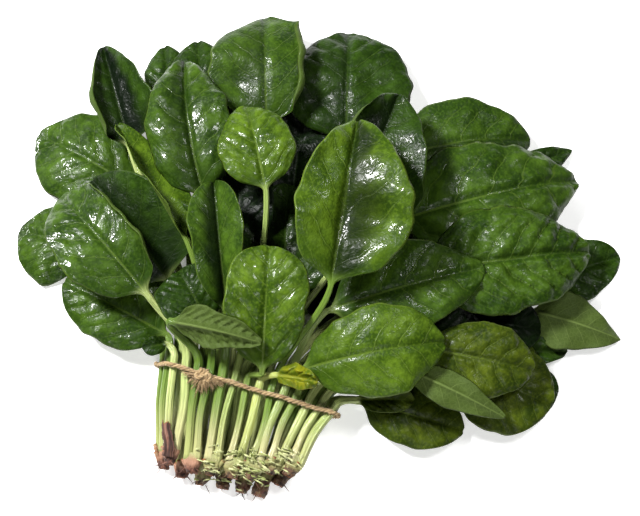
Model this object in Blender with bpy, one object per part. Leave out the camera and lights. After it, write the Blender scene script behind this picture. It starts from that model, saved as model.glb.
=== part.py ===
"""Spinach bunch: tied leaves on their stalks, cut root crowns and a jute cord.

Metres, +Z up. The bunch lies on the plane z = 0 with its leaves towards +Y.
The origin is on that plane, below the middle of the bunch.
"""

import bmesh
import bpy
import numpy as np
from mathutils.bvhtree import BVHTree

MM = 0.001
UP = np.array((0.0, 0.0, 1.0))
MIDDLE = np.array((-1.5, 8.5, 0.0))     # middle of the bunch in plan, the object's origin

# The tied bundle: three rows of stalks under the cord, fourteen in a row.
COLUMNS = 14
TIE_START = np.array((-94.5, -62.0))    # first stalk of the bottom row
TIE_END = np.array((-1.0, -90.0))       # last stalk of the bottom row
ROW_SHIFT = 0.5                         # each row sits half a pitch along the one below
ROW_HEIGHTS = (6.8, 13.4, 20.0)
STALK_RADIUS = 2.5
STALK_FOOT_RADIUS = 2.2
STALK_NECK_RADIUS = 1.8
PAST_CORD = 6.0                         # a stalk runs straight this far beyond the cord

# Root crowns: a lower and an upper rank of seven, three stalks on each.
CROWNS = 7
CROWN_START = np.array((-93.5, -113.0))
CROWN_END = np.array((-15.0, -121.0))
CROWN_SAGS = (9.75, 6.5)                # the crown line bellies out between its ends
CROWN_STAGGER = 1.3                     # crowns end at uneven lengths
LOWER_SETBACK = 2.0                     # the lower rank sits this much further out
CROWN_RADIUS = 5.2
CROWN_LENGTH = 13.0
CROWN_HEIGHTS = (5.2, 18.3)
CROWN_SIDES = 8
CROWN_PROFILE = ((0.0, 0.86), (0.12, 1.0), (0.38, 0.9), (0.66, 0.62), (0.88, 0.5),
                 (1.0, 0.38))           # share of the length, share of the radius
KNOB_DEPTH = 0.08
CLUSTER_RADIUS = 3.1                    # stalk centres round the crown's axis
PAIR_ANGLES = (150.0, 30.0)             # where the two stalks of one row meet the crown
THIRD_ANGLE = 90.0                      # where the middle row's stalk meets it
FOOT_GAP = 0.5                          # between a stalk's foot and its crown

# Leaf blades.
RING_SIDES = 8                          # points round a leaf: five above, three below
TOP_SIDES = 5
RIB_SIDE = 6                            # the point below the midrib
STATIONS = np.array((0.0, 0.35, 0.7, 1.0, 1.3, 1.6, 1.85, 2.0, 2.08, 2.2, 2.36, 2.54, 2.72,
                     2.87, 2.97))       # foot 0, cord 1, blade base 2, tip 3
TANGENT_STEP = 0.02
BLADE_THICKNESS = 1.2
BLADE_OPENS = 0.14                      # share of the length over which a stalk flattens
WAVES_GROW = 0.25                       # share of the length where waves and rolls begin
WAVE_OFFSET = 1.3                       # the two margins wave out of step
BASE_ROUNDING = 0.7
TIP_ROUNDING = 0.62
CURL_FROM = 0.55                        # share of the half width where a margin starts to roll
HOOK_FROM = 0.55                        # share of the length where a tip starts to bend down
SECTION_STEPS = 40
ARRIVAL = 0.7                           # how far a stalk meets its blade at an angle
ARRIVAL_PULL = 0.9
RIB_DEPTH = 1.0
CLEARANCE = 0.9                         # least gap kept between two blades
STALK_CLEARANCE = 0.6                   # least gap kept beside a stalk
LAYING_STEP = 1.0                       # a leaf is lifted by this until it lies clear
HIGHEST_LIFT = 90.0
FULL_RISE_RUN = 60.0                    # a blade this far from the cord rises as a whole
SHORTEST_SHARE = 0.15                   # a blade close to the cord tips up instead

# Jute cord and knot.
CORD_RADIUS = 1.4
CORD_GAP = 1.1
CORD_SIDES = 8
CORNER_POINTS = 4
CORD_STEP = 7.7                         # length of one straight bit of cord
KNOT_COLUMN = 2.6
KNOT_SIZES = np.array((8.0, 6.6, 2.6))  # half sizes, frayed tail included
KNOT_OFFSET = np.array((0.0, -4.0, 0.5))
KNOT_SIDES = 10
KNOT_LEVELS = 6
KNOT_LUMPS = 0.08

STALK_GREEN = (0.42, 0.52, 0.20)
CROWN_BROWN = (0.30, 0.13, 0.08)
JUTE = (0.45, 0.30, 0.16)
LEAF_TONES = {
    "deep": (0.01, 0.03, 0.006),
    "dark": (0.02, 0.07, 0.01),
    "green": (0.05, 0.15, 0.02),
    "bright": (0.10, 0.24, 0.03),
    "pale": (0.20, 0.30, 0.10),
    "yellow": (0.45, 0.45, 0.08),
}


def leaf(name, row, column, base, tip, width, **shape):
    """One leaf: its place in the bundle, blade base and tip in plan (mm) and its shape."""
    row_of = dict(name=name, row=row, column=column, base=base, tip=tip, width=width,
                  lift=14.0, droop=-4.0, arch=6.0, bend=0.0, roll=0.0, twist=0.0,
                  cup=15.0, fold=0.0, ruffle=1.0, waves=2.5, point=2.2, broad=0.45,
                  curl_left=0.0, curl_right=0.0, hook=0.0, skew=0.0, tone="green")
    row_of.update(shape)
    return row_of


# Leaves in the order they are laid, from the surface upwards.
LEAVES = (
    leaf("leaf_far_left", 0, 0, (-143, 8), (-187, 26), 54, lift=4, droop=-4, cup=-18,
         arch=4, hook=4),
    leaf("leaf_left_upper", 0, 1, (-108, 46), (-178, 88), 66, lift=6, droop=-5, cup=-14,
         arch=8, hook=5),
    leaf("leaf_upper_left_lobe", 0, 2, (-88, 80), (-100, 146), 34, lift=7, tone="dark",
         cup=-16),
    leaf("leaf_upper_left_back", 0, 3, (-71, 80), (-78, 148), 46, lift=8, tone="dark",
         cup=-14),
    leaf("leaf_back_middle", 0, 5, (-18, 36), (-10, 104), 54, lift=7, tone="deep"),
    leaf("leaf_top", 0, 4, (-33, 84), (-35, 162), 70, lift=12, cup=-10, arch=10,
         curl_right=170, point=2.6, broad=0.5, hook=6),
    leaf("leaf_top_right", 0, 6, (16, 76), (18, 155), 84, lift=9, cup=-12, arch=10,
         tone="dark", broad=0.5, hook=5),
    leaf("leaf_right_point", 0, 8, (104, 48), (159, 78), 24, lift=5, point=1.1, tone="dark"),
    leaf("leaf_inner_right", 0, 9, (0, -42), (60, 42), 44, lift=6, tone="deep",
         broad=0.26),
    leaf("leaf_right_upper", 0, 7, (42, 64), (132, 80), 58, lift=10, cup=-12, arch=10,
         broad=0.42, bend=-3, hook=4),
    leaf("leaf_far_right", 0, 10, (126, -12), (186, 8), 42, lift=4, droop=-4, arch=4,
         ruffle=2.2, tone="dark", point=1.6, waves=3),
    leaf("leaf_right_pale", 0, 11, (128, -28), (183, -45), 38, lift=6, roll=180, cup=12,
         point=1.05, broad=0.36, tone="pale"),
    leaf("leaf_low_right_point", 0, 12, (98, -54), (151, -52), 24, lift=4, tone="dark",
         point=1.15),
    leaf("leaf_low_right_round", 0, 13, (96, -74), (145, -76), 32, lift=4, droop=-4,
         arch=3, tone="dark", point=2.8, broad=0.55),
    leaf("leaf_low_left_pale", 1, 0, (-92, -44), (-156, -10), 48, lift=14, cup=-8,
         droop=-2),
    leaf("leaf_left_folded", 1, 1, (-90, -14), (-140, 52), 56, lift=24, fold=8, cup=20,
         roll=8, tone="deep"),
    leaf("leaf_upper_left_tall", 1, 2, (-117, 72), (-137, 141), 50, lift=20, fold=14, cup=36,
         curl_left=110, point=1.15, broad=0.42, tone="dark"),
    leaf("leaf_middle_left_dark", 1, 5, (-52, 4), (-48, 62), 38, lift=22, tone="deep"),
    leaf("leaf_middle_dark", 1, 6, (-22, -24), (-20, 52), 52, lift=14, tone="dark",
         broad=0.4),
    leaf("leaf_left_strip", 1, 3, (-79, 8), (-124, 82), 38, lift=34, fold=24, roll=-52,
         point=1.8, tone="green"),
    leaf("leaf_middle_square", 2, 3, (-66, -40), (-84, -9), 38, lift=26, tone="dark",
         point=3.4, broad=0.5),
    leaf("leaf_upper_left_glossy", 1, 4, (-69, 34), (-84, 126), 54, lift=26, fold=22,
         cup=-44, arch=10, bend=-3, point=1.9, broad=0.4, hook=4),
    leaf("leaf_right_bumpy", 1, 8, (43, 24), (160, 54), 68, broad=0.38, lift=20, cup=-16, arch=14,
         hook=6),
    leaf("leaf_right_crinkled", 1, 9, (60, -10), (164, 6), 66, lift=18, cup=-12,
         arch=10, ruffle=1.8, hook=5),
    leaf("leaf_centre_back", 1, 7, (12, 0), (48, 98), 78, lift=24, fold=14, cup=20,
         curl_left=100, roll=-4, droop=8, broad=0.42, point=1.25, tone="dark"),
    leaf("leaf_right_low_dark", 1, 10, (84, -36), (134, -40), 40, lift=12, tone="deep"),
    leaf("leaf_low_middle_dark", 1, 11, (48, -48), (100, -44), 36, lift=12, tone="deep"),
    leaf("leaf_low_right_large", 1, 12, (82, -62), (139, -86), 62, lift=12, cup=-12),
    leaf("leaf_low_right_bottom", 1, 13, (24, -84), (86, -101), 38, lift=11, cup=-14),
    leaf("leaf_tie_left_small", 2, 0, (-92, -50), (-106, -54), 12, lift=17, droop=-3,
         tone="dark", ruffle=0.5, arch=2),
    leaf("leaf_left_glossy", 2, 1, (-102, -24), (-158, 40), 58, lift=34, cup=10,
         arch=10, curl_right=130, broad=0.5, hook=5),
    leaf("leaf_middle_shiny", 2, 5, (-32, 36), (-44, 92), 45, lift=44, point=2.6, cup=-12,
         hook=4, tone="bright"),
    leaf("leaf_middle_folded", 2, 4, (-55, -36), (-63, 42), 40, lift=30, droop=6, fold=44,
         cup=-12, roll=6, broad=0.6, point=2.6),
    leaf("leaf_centre", 2, 8, (6, -26), (22, 74), 72, lift=42, fold=26, cup=-16,
         skew=0.2, droop=8, point=1.5, broad=0.42, tone="bright", hook=6),
    leaf("leaf_right_veined", 2, 9, (4, -34), (98, -8), 56, lift=30, cup=-14, arch=10,
         droop=4, point=1.7, hook=4),
    leaf("leaf_low_right_oval", 2, 11, (60, -56), (126, -68), 44, lift=24, cup=-16,
         roll=-8, broad=0.55, hook=4),
    leaf("leaf_low_right_olive", 2, 12, (50, -68), (108, -96), 22, lift=26, roll=180,
         cup=10, point=1.2, tone="pale"),
    leaf("leaf_low_right_small", 2, 13, (22, -84), (56, -84), 18, lift=20, arch=3),
    leaf("leaf_front_spoon", 2, 6, (-34, -70), (-29, 1), 50, lift=27, cup=14, arch=8,
         droop=18, point=2.6, broad=0.58, hook=5, tone="bright"),
    leaf("leaf_draped_underside", 2, 2, (-87, -42), (-34, -55), 26, lift=38, roll=160,
         cup=30, point=1.2, broad=0.35, tone="pale"),
    leaf("leaf_front_oval", 2, 10, (-12, -69), (73, -54), 54, lift=29, cup=-18, arch=12,
         roll=-10, hook=6, broad=0.52, tone="bright"),
    leaf("leaf_yellowed_small", 2, 7, (-26, -71), (-1, -77), 12, lift=26, arch=3,
         fold=20, tone="yellow"),
)

ACROSS = np.linspace(-1.0, 1.0, TOP_SIDES)


def unit(vectors):
    return vectors / np.linalg.norm(vectors, axis=-1, keepdims=True)


def smooth(t):
    t = np.clip(t, 0.0, 1.0)
    return t * t * (3.0 - 2.0 * t)


def slot(row, column):
    """Centre of one stalk where the cord passes round it."""
    along = (column + ROW_SHIFT * row) / (COLUMNS - 1)
    plan = TIE_START + (TIE_END - TIE_START) * along
    return np.array((plan[0], plan[1], ROW_HEIGHTS[row]))


def crown_frame(rank, number):
    """Centre of a crown's top face, its axis towards the stalks, and its side."""
    along = (number + 0.5 * rank) / (CROWNS - 0.5)
    plan = CROWN_START + (CROWN_END - CROWN_START) * along
    belly = CROWN_SAGS[rank] * np.sin(np.pi * along)
    stagger = CROWN_STAGGER * np.sin(2.4 * number + 1.2 * rank + 1.0)
    centre = np.array((plan[0], plan[1] - belly + stagger - LOWER_SETBACK * (1 - rank),
                       CROWN_HEIGHTS[rank]))
    first = slot(2 if rank else 0, 2 * number)
    second = slot(2 if rank else 0, 2 * number + 1)
    aim = (first + second) / 2.0
    axis = unit(np.array((aim[0] - centre[0], aim[1] - centre[1], 0.0)))
    side = np.array((axis[1], -axis[0], 0.0))
    return centre, axis, side


def foot(row, column):
    """Where a stalk meets its crown: two stalks of one row and one of the middle row."""
    rank = 1 if row == 2 or (row == 1 and column % 2) else 0
    number = column // 2
    centre, axis, side = crown_frame(rank, number)
    if row == 1:
        angle = THIRD_ANGLE * (-1 if rank else 1)
    else:
        angle = PAIR_ANGLES[column % 2] * (1 if rank else -1)
    turn = np.radians(angle)
    across = side * np.cos(turn) + UP * np.sin(turn)
    return centre + axis * FOOT_GAP + across * CLUSTER_RADIUS, axis


def route(row_of, rise, q):
    """Leaf centreline: 0 to 1 foot to cord, 1 to 2 cord to blade, 2 to 3 the blade."""
    start, axis = foot(row_of["row"], row_of["column"])
    tie = slot(row_of["row"], row_of["column"])
    stalk_run = np.linalg.norm(np.array(row_of["base"]) - tie[:2])
    share = np.clip(stalk_run / FULL_RISE_RUN, SHORTEST_SHARE, 1.0)
    base = np.array((*row_of["base"], row_of["lift"] + rise * share), float)
    tip = np.array((*row_of["tip"], row_of["lift"] + rise + row_of["droop"]), float)
    run = unit(tip - base)
    aside = unit(np.array((run[1], -run[0], 0.0)))
    middle = (base + tip) / 2.0 + aside * row_of["bend"] * 2.0
    middle[2] += row_of["arch"] * 2.0
    heading = unit(tie - start)
    tie = tie + heading * PAST_CORD
    q = np.asarray(q, float)[:, None]

    s = np.clip(q, 0.0, 1.0)
    reach = np.linalg.norm(tie - start)
    stem = hermite(start, tie, axis * reach, heading * reach, s)
    s = np.clip(q - 1.0, 0.0, 1.0)
    reach = np.linalg.norm(base - tie)
    arrival = unit(unit(middle - base) + unit(base - tie) * ARRIVAL)
    stalk = hermite(tie, base, heading * reach, arrival * reach * ARRIVAL_PULL, s)
    s = np.clip(q - 2.0, 0.0, 1.0)
    blade = (1 - s) ** 2 * base + 2 * s * (1 - s) * middle + s ** 2 * tip
    bent = np.clip((s[:, 0] - HOOK_FROM) / (1 - HOOK_FROM), 0.0, 1.0)
    blade[:, 2] -= row_of["hook"] * bent ** 2
    return np.where(q <= 1.0, stem, np.where(q <= 2.0, stalk, blade))


def hermite(start, end, start_pull, end_pull, s):
    return ((2 * s ** 3 - 3 * s ** 2 + 1) * start + (s ** 3 - 2 * s ** 2 + s) * start_pull
            + (3 * s ** 2 - 2 * s ** 3) * end + (s ** 3 - s ** 2) * end_pull)


def outline(row_of, t):
    """Half width of the blade along its length, as a share of its widest."""
    broad = row_of["broad"]
    low = np.clip((broad - t) / broad, 0.0, 1.0)
    high = np.clip((t - broad) / (1.0 - broad), 0.0, 1.0)
    return np.where(t < broad, (1 - low ** 2) ** BASE_ROUNDING,
                    (1 - high ** row_of["point"]) ** TIP_ROUNDING)


def section(row_of, t, across):
    """Sideways run, rise and slope of the blade's cross-section, for a half width of one."""
    grid = np.linspace(0.0, 1.0, SECTION_STEPS + 1)
    rolled = (smooth(t / WAVES_GROW) * smooth((1 - t) / WAVES_GROW))[:, None]
    rolled = rolled * smooth((grid - CURL_FROM) / (1 - CURL_FROM))
    index = np.rint(np.abs(across) * SECTION_STEPS).astype(int)
    runs, rises, slopes = (np.zeros((len(t), len(across))) for _ in range(3))
    for hand, curl in ((-1, row_of["curl_left"]), (1, row_of["curl_right"])):
        slope = np.radians(row_of["fold"] + row_of["cup"] * grid + curl * rolled)
        own = index[across * hand > 0]
        for result, part_of in ((runs, np.cos(slope)), (rises, np.sin(slope))):
            walk = (part_of[:, 1:] + part_of[:, :-1]) / 2 / SECTION_STEPS
            walk = np.concatenate((np.zeros((len(t), 1)), np.cumsum(walk, axis=1)), axis=1)
            result[:, across * hand > 0] = walk[:, own]
        runs[:, across * hand > 0] *= hand * (1 + hand * row_of["skew"])
        slopes[:, across * hand > 0] = slope[:, own] * hand
    return runs, rises, slopes


def leaf_rings(row_of, rise, stations, spare=0.0):
    """Rings of eight points round the leaf at each station; spare thickens them."""
    centre = route(row_of, rise, stations)
    tangent = unit(route(row_of, rise, np.clip(stations + TANGENT_STEP, 0, 3))
                   - route(row_of, rise, np.clip(stations - TANGENT_STEP, 0, 3)))
    side = unit(np.cross(tangent, UP))
    normal = np.cross(side, tangent)
    t = np.clip(stations - 2.0, 0.0, 1.0)
    roll = np.radians(row_of["roll"] + row_of["twist"] * (t - 0.5))[:, None]
    side, normal = (side * np.cos(roll) + normal * np.sin(roll),
                    normal * np.cos(roll) - side * np.sin(roll))

    radius = np.interp(stations, (0, 1, 2), (STALK_FOOT_RADIUS, STALK_RADIUS,
                                             STALK_NECK_RADIUS)) + min(spare, STALK_CLEARANCE)
    half = row_of["width"] / 2.0 * outline(row_of, t)
    lateral, height, slope = section(row_of, t, ACROSS)
    wave = np.sin(2 * np.pi * row_of["waves"] * t[:, None] + WAVE_OFFSET * (ACROSS > 0)
                  + row_of["column"])
    ruffle = row_of["ruffle"] * ACROSS ** 2 * wave * smooth(t / WAVES_GROW)[:, None]
    lateral = half[:, None] * lateral + ACROSS * spare
    height = half[:, None] * height + ruffle
    shell = BLADE_THICKNESS / 2 + spare
    rib = RIB_DEPTH * (1 - t) + shell
    blend = smooth(t / BLADE_OPENS)

    rings = np.zeros((len(stations), RING_SIDES, 3))
    for index in range(RING_SIDES):
        angle = np.pi - 2 * np.pi * index / RING_SIDES
        above = index < TOP_SIDES
        over = index if above else RING_SIDES - index
        if above:
            depth = shell if 0 < index < TOP_SIDES - 1 else 0.0
        else:
            depth = -(rib if index == RIB_SIDE else shell)
        flat_side = lateral[:, over] - depth * np.sin(slope[:, over])
        flat_up = height[:, over] + depth * np.cos(slope[:, over])
        a = radius * np.cos(angle) * (1 - blend) + flat_side * blend
        b = radius * np.sin(angle) * (1 - blend) + flat_up * blend
        rings[:, index] = centre + side * a[:, None] + normal * b[:, None]
    floor = np.where(np.arange(RING_SIDES) < TOP_SIDES, BLADE_THICKNESS, 0.0)
    floor[[0, TOP_SIDES - 1]] = BLADE_THICKNESS / 2
    rings[:, :, 2] = np.maximum(rings[:, :, 2], floor)
    return rings


def ring_faces(rings, sides):
    """Quads between rings, and a cap on each end."""
    faces = [tuple(reversed(range(sides)))]
    for ring in range(rings - 1):
        for corner in range(sides):
            following = (corner + 1) % sides
            here = ring * sides
            there = here + sides
            faces.append((here + corner, here + following, there + following,
                          there + corner))
    faces.append(tuple((rings - 1) * sides + corner for corner in range(sides)))
    return faces


def split_faces(faces):
    """Triangles, so that a bent quad is the same in every test."""
    triangles = []
    for face in faces:
        for corner in range(1, len(face) - 1):
            triangles.append((face[0], face[corner], face[corner + 1]))
    return triangles


def tree(vertices, triangles):
    return BVHTree.FromPolygons([tuple(v) for v in vertices], triangles)


def add_object(name, vertices, triangles, colour, roughness):
    mesh = bpy.data.meshes.new(name)
    mesh.from_pydata([tuple((v - MIDDLE) * MM) for v in vertices], [], triangles)
    shaped = bmesh.new()
    shaped.from_mesh(mesh)
    bmesh.ops.recalc_face_normals(shaped, faces=shaped.faces)
    if shaped.calc_volume(signed=True) < 0:
        bmesh.ops.reverse_faces(shaped, faces=shaped.faces)
    shaped.to_mesh(mesh)
    shaped.free()
    mesh.materials.append(material(name + "_finish", colour, roughness))
    mesh.shade_smooth()
    made = bpy.data.objects.new(name, mesh)
    bpy.context.scene.collection.objects.link(made)
    return made


def material(name, colour, roughness):
    made = bpy.data.materials.new(name)
    made.use_nodes = True
    shader = made.node_tree.nodes["Principled BSDF"]
    shader.inputs["Base Color"].default_value = (*colour, 1.0)
    shader.inputs["Roughness"].default_value = roughness
    shader.inputs["Metallic"].default_value = 0.0
    return made


def crown_mesh(rank, number):
    """A knobbly foot: rings along the axis, away from the stalks."""
    centre, axis, side = crown_frame(rank, number)
    rings = []
    for along, share in CROWN_PROFILE:
        for corner in range(CROWN_SIDES):
            angle = 2 * np.pi * corner / CROWN_SIDES
            knob = 1.0 - KNOB_DEPTH * (1 + np.sin(3 * angle + number + 2 * rank)) * along
            spoke = side * np.cos(angle) + UP * np.sin(angle)
            rings.append(centre - axis * CROWN_LENGTH * along
                         + spoke * CROWN_RADIUS * share * knob)
    vertices = np.array(rings)
    return vertices, split_faces(ring_faces(len(CROWN_PROFILE), CROWN_SIDES))


def cord_route():
    """The cord's centreline: a closed turn round the three rows of stalks."""
    reach = STALK_RADIUS + CORD_GAP + CORD_RADIUS
    low = slot(0, 0)
    low_end = slot(0, COLUMNS - 1)
    high = slot(2, 0)
    high_end = slot(2, COLUMNS - 1)
    side = unit(low_end - low)
    corners = ((low, 180, 270), (low_end, 270, 360), (slot(1, COLUMNS - 1), 340, 380),
               (high_end, 0, 90), (high, 90, 180), (slot(1, 0), 160, 200))
    points = []
    for corner, start, end in corners:
        for angle in np.radians(np.linspace(start, end, CORNER_POINTS)):
            points.append(corner + (side * np.cos(angle) + UP * np.sin(angle)) * reach)
    return points, side


def hull_order(points, side):
    """Keep the points of the convex outline, in order."""
    origin = points[0]
    flat = sorted({(round(float((p - origin) @ side), 4), round(float(p[2]), 4))
                   for p in points})
    halves = []
    for run in (flat, flat[::-1]):
        chain = []
        for point in run:
            while len(chain) > 1:
                a, b = chain[-2], chain[-1]
                if (b[0] - a[0]) * (point[1] - a[1]) - (b[1] - a[1]) * (point[0] - a[0]) <= 0:
                    chain.pop()
                else:
                    break
            chain.append(point)
        halves += chain[:-1]
    plan = origin - np.array((0.0, 0.0, origin[2]))
    return [plan + side * a + np.array((0.0, 0.0, b)) for a, b in halves]


def add_cord():
    points, side = cord_route()
    corners = hull_order(points, side)
    dense = []
    for first, second in zip(corners, corners[1:] + corners[:1]):
        pieces = max(1, int(np.linalg.norm(second - first) // CORD_STEP))
        dense += [first + (second - first) * k / pieces for k in range(pieces)]
    vertices = []
    count = len(dense)
    along = unit(np.roll(dense, -1, axis=0) - np.roll(dense, 1, axis=0))
    across = unit(np.cross(side, UP))
    for point, run in zip(dense, along):
        outward = unit(np.cross(across, run))
        for corner in range(CORD_SIDES):
            angle = 2 * np.pi * corner / CORD_SIDES
            vertices.append(point + (across * np.cos(angle) + outward * np.sin(angle))
                            * CORD_RADIUS)
    faces = []
    for ring in range(count):
        following_ring = (ring + 1) % count
        for corner in range(CORD_SIDES):
            following = (corner + 1) % CORD_SIDES
            faces.append((ring * CORD_SIDES + corner, ring * CORD_SIDES + following,
                          following_ring * CORD_SIDES + following,
                          following_ring * CORD_SIDES + corner))
    vertices = np.array(vertices)
    triangles = split_faces(faces)
    add_object("jute_cord", vertices, triangles, JUTE, 0.9)
    return tree(vertices, triangles)


def add_knot():
    """The knot and its frayed tail lie on the cord's upper side."""
    above_cord = STALK_RADIUS + CORD_GAP + 2 * CORD_RADIUS + KNOT_SIZES[2]
    centre = slot(2, KNOT_COLUMN) + UP * above_cord + KNOT_OFFSET
    rings = []
    for level in range(KNOT_LEVELS):
        tilt = np.pi * (level + 0.5) / KNOT_LEVELS
        for corner in range(KNOT_SIDES):
            angle = 2 * np.pi * corner / KNOT_SIDES
            lump = 1 + KNOT_LUMPS * np.sin(3 * angle)
            rings.append(centre + KNOT_SIZES * (np.sin(tilt) * np.cos(angle) * lump,
                                                np.sin(tilt) * np.sin(angle) * lump,
                                                np.cos(tilt)))
    vertices = np.array(rings)
    triangles = split_faces(ring_faces(KNOT_LEVELS, KNOT_SIDES))
    add_object("jute_knot", vertices, triangles, JUTE, 0.9)
    return tree(vertices, triangles)


def lay_leaf(row_of, laid):
    """Lift the leaf until its thickened shape touches nothing that lies already."""
    triangles = split_faces(ring_faces(len(STATIONS), RING_SIDES))
    rise = 0.0
    while rise < HIGHEST_LIFT:
        padded = leaf_rings(row_of, rise, STATIONS, CLEARANCE).reshape(-1, 3)
        shape = tree(padded, triangles)
        if not any(shape.overlap(other) for other in laid):
            break
        rise += LAYING_STEP
    vertices = leaf_rings(row_of, rise, STATIONS).reshape(-1, 3)
    add_object(row_of["name"], vertices, triangles, LEAF_TONES[row_of["tone"]], 0.35)
    return tree(vertices, triangles)


def build():
    for thing in list(bpy.data.objects):
        bpy.data.objects.remove(thing, do_unlink=True)
    laid = []
    for rank in range(2):
        for number in range(CROWNS):
            vertices, triangles = crown_mesh(rank, number)
            place = "upper" if rank else "lower"
            name = f"root_crown_{place}_{number + 1}"
            add_object(name, vertices, triangles, CROWN_BROWN, 0.7)
            laid.append(tree(vertices, triangles))
    laid.append(add_cord())
    laid.append(add_knot())
    for row_of in LEAVES:
        laid.append(lay_leaf(row_of, laid))


build()
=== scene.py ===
import math
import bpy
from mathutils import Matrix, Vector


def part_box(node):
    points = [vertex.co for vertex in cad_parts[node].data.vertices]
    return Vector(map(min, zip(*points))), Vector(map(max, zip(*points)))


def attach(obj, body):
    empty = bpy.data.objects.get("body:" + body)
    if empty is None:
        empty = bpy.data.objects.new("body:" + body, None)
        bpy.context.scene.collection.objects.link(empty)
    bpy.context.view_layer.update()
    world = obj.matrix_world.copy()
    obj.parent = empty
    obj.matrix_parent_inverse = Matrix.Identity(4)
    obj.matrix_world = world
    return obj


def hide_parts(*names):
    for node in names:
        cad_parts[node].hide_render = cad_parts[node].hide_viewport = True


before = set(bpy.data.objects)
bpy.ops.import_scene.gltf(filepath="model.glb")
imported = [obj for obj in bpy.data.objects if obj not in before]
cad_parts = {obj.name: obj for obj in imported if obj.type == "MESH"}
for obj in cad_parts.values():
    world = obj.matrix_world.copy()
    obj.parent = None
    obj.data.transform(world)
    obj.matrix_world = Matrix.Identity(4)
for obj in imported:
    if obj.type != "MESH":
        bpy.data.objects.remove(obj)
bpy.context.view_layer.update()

from types import SimpleNamespace

import bpy
import numpy as np
from mathutils import Vector


# ------------------------ table, light and camera
# The bunch lies on a plain pale table top that glows faintly, a painted light that whitens the shadows
# round the bunch; under the bunch it does not glow.
# A strong lamp stands high on the left, weaker ones on the right and in front, and the camera looks down
# from the root end.
TABLE_SPAN = 4.0
TABLE_DROP = 0.0003                     # the table top lies clear of the leaves on it
TABLE_WHITES = ((0.86, 0.86, 0.85), (0.89, 0.89, 0.88))
TABLE_GLOW = 0.42
COVERED = (0.090, 0.062)                # half axes of the part under the bunch, where the table top does not glow
LAMPS = (("key_lamp", (-0.80, 0.50, 1.15), (0.28, 0.28), 60.0),
         ("side_lamp", (0.55, 0.35, 1.30), (0.30, 0.30), 10.0),
         ("front_lamp", (-0.10, -1.1, 1.0), (0.9, 0.4), 9.0))
LAMP_AIM = Vector((0, 0, 0.02))
SKY_STRENGTH = 0.08
LOOK_AT = Vector((0.0015, -0.0085, 0.030))
LOOK_DOWN = math.radians(76.0)
LENS = 85.0
FILM_WIDTH = 36.0
SEEN_WIDTH = 0.384


def add_object(name, data):
    made = bpy.data.objects.new(name, data)
    bpy.context.scene.collection.objects.link(made)
    return made


def set_inputs(node, values):
    """Set a node's inputs by name or number; an input whose value is a socket is linked."""
    for key, value in values.items():
        socket = node.inputs[key]
        if isinstance(value, bpy.types.NodeSocket):
            node.id_data.links.new(value, socket)
        else:
            socket.default_value = (*value, 1.0) if socket.type == "RGBA" else value


def add_node(tree, kind, values, **settings):
    """Add a shader node with these inputs and settings, and give its outputs."""
    made = tree.nodes.new("ShaderNode" + kind)
    for key, value in settings.items():
        setattr(made, key, value)
    set_inputs(made, values)
    return made.outputs


def noise(place, scale, detail=2.0):
    return add_node(place.id_data, "TexNoise",
                    {"Vector": place, "Scale": scale, "Detail": detail})["Fac"]


def mixed(share, first, second):
    """A colour between two, by a share from 0 to 1."""
    return add_node(share.id_data, "Mix", {0: share, 6: first, 7: second},
                    data_type="RGBA")[2]


def new_finish(name):
    finish = bpy.data.materials.new(name)
    finish.use_nodes = True
    return finish, finish.node_tree, finish.node_tree.nodes["Principled BSDF"]


def add_table():
    finish, tree, shader = new_finish("table_white")
    place = add_node(tree, "NewGeometry", {})["Position"]
    away = add_node(tree, "VectorMath",
                    {0: place, 1: (1 / COVERED[0], 1 / COVERED[1], 0)}, operation="MULTIPLY")
    away = add_node(tree, "VectorMath", {0: away["Vector"]}, operation="LENGTH")
    # Painted light: the table top glows to wash out the shadows round the bunch, and the glow fades to
    # nothing under the bunch.
    glow = add_node(tree, "MapRange",
                    {"Value": away["Value"], "From Min": 0.75, "From Max": 1.05,
                     "To Max": TABLE_GLOW})
    set_inputs(shader, {"Base Color": mixed(noise(place, 6.0), *TABLE_WHITES),
                        "Roughness": 0.9, "Specular IOR Level": 0.1,
                        "Emission Color": (1, 1, 1), "Emission Strength": glow["Result"]})
    bpy.ops.mesh.primitive_plane_add(size=TABLE_SPAN, location=(0, 0, -TABLE_DROP))
    table = bpy.context.object
    table.name = "table_top"
    table.data.materials.append(finish)


def add_lamp(name, place, size, watts):
    light = bpy.data.lights.new(name, "AREA")
    light.shape = "RECTANGLE"
    light.size, light.size_y = size
    light.energy = watts
    lamp = add_object(name, light)
    lamp.location = place
    lamp.rotation_euler = (LAMP_AIM - lamp.location).to_track_quat("-Z", "Y").to_euler()


def add_camera():
    lens = bpy.data.cameras.new("camera")
    lens.lens = LENS
    lens.sensor_width = FILM_WIDTH
    camera = add_object("camera", lens)
    away = Vector((0, -math.cos(LOOK_DOWN), math.sin(LOOK_DOWN)))
    camera.location = LOOK_AT + away * (SEEN_WIDTH * LENS / FILM_WIDTH)
    camera.rotation_euler = (-away).to_track_quat("-Z", "Y").to_euler()
    bpy.context.scene.camera = camera


add_table()
for lamp in LAMPS:
    add_lamp(*lamp)
add_camera()
sky = bpy.data.worlds.new("studio")
sky.use_nodes = True
set_inputs(sky.node_tree.nodes["Background"], {"Color": (1, 1, 1), "Strength": SKY_STRENGTH})
bpy.context.scene.world = sky
bpy.context.scene.view_settings.view_transform = "Standard"


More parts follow.
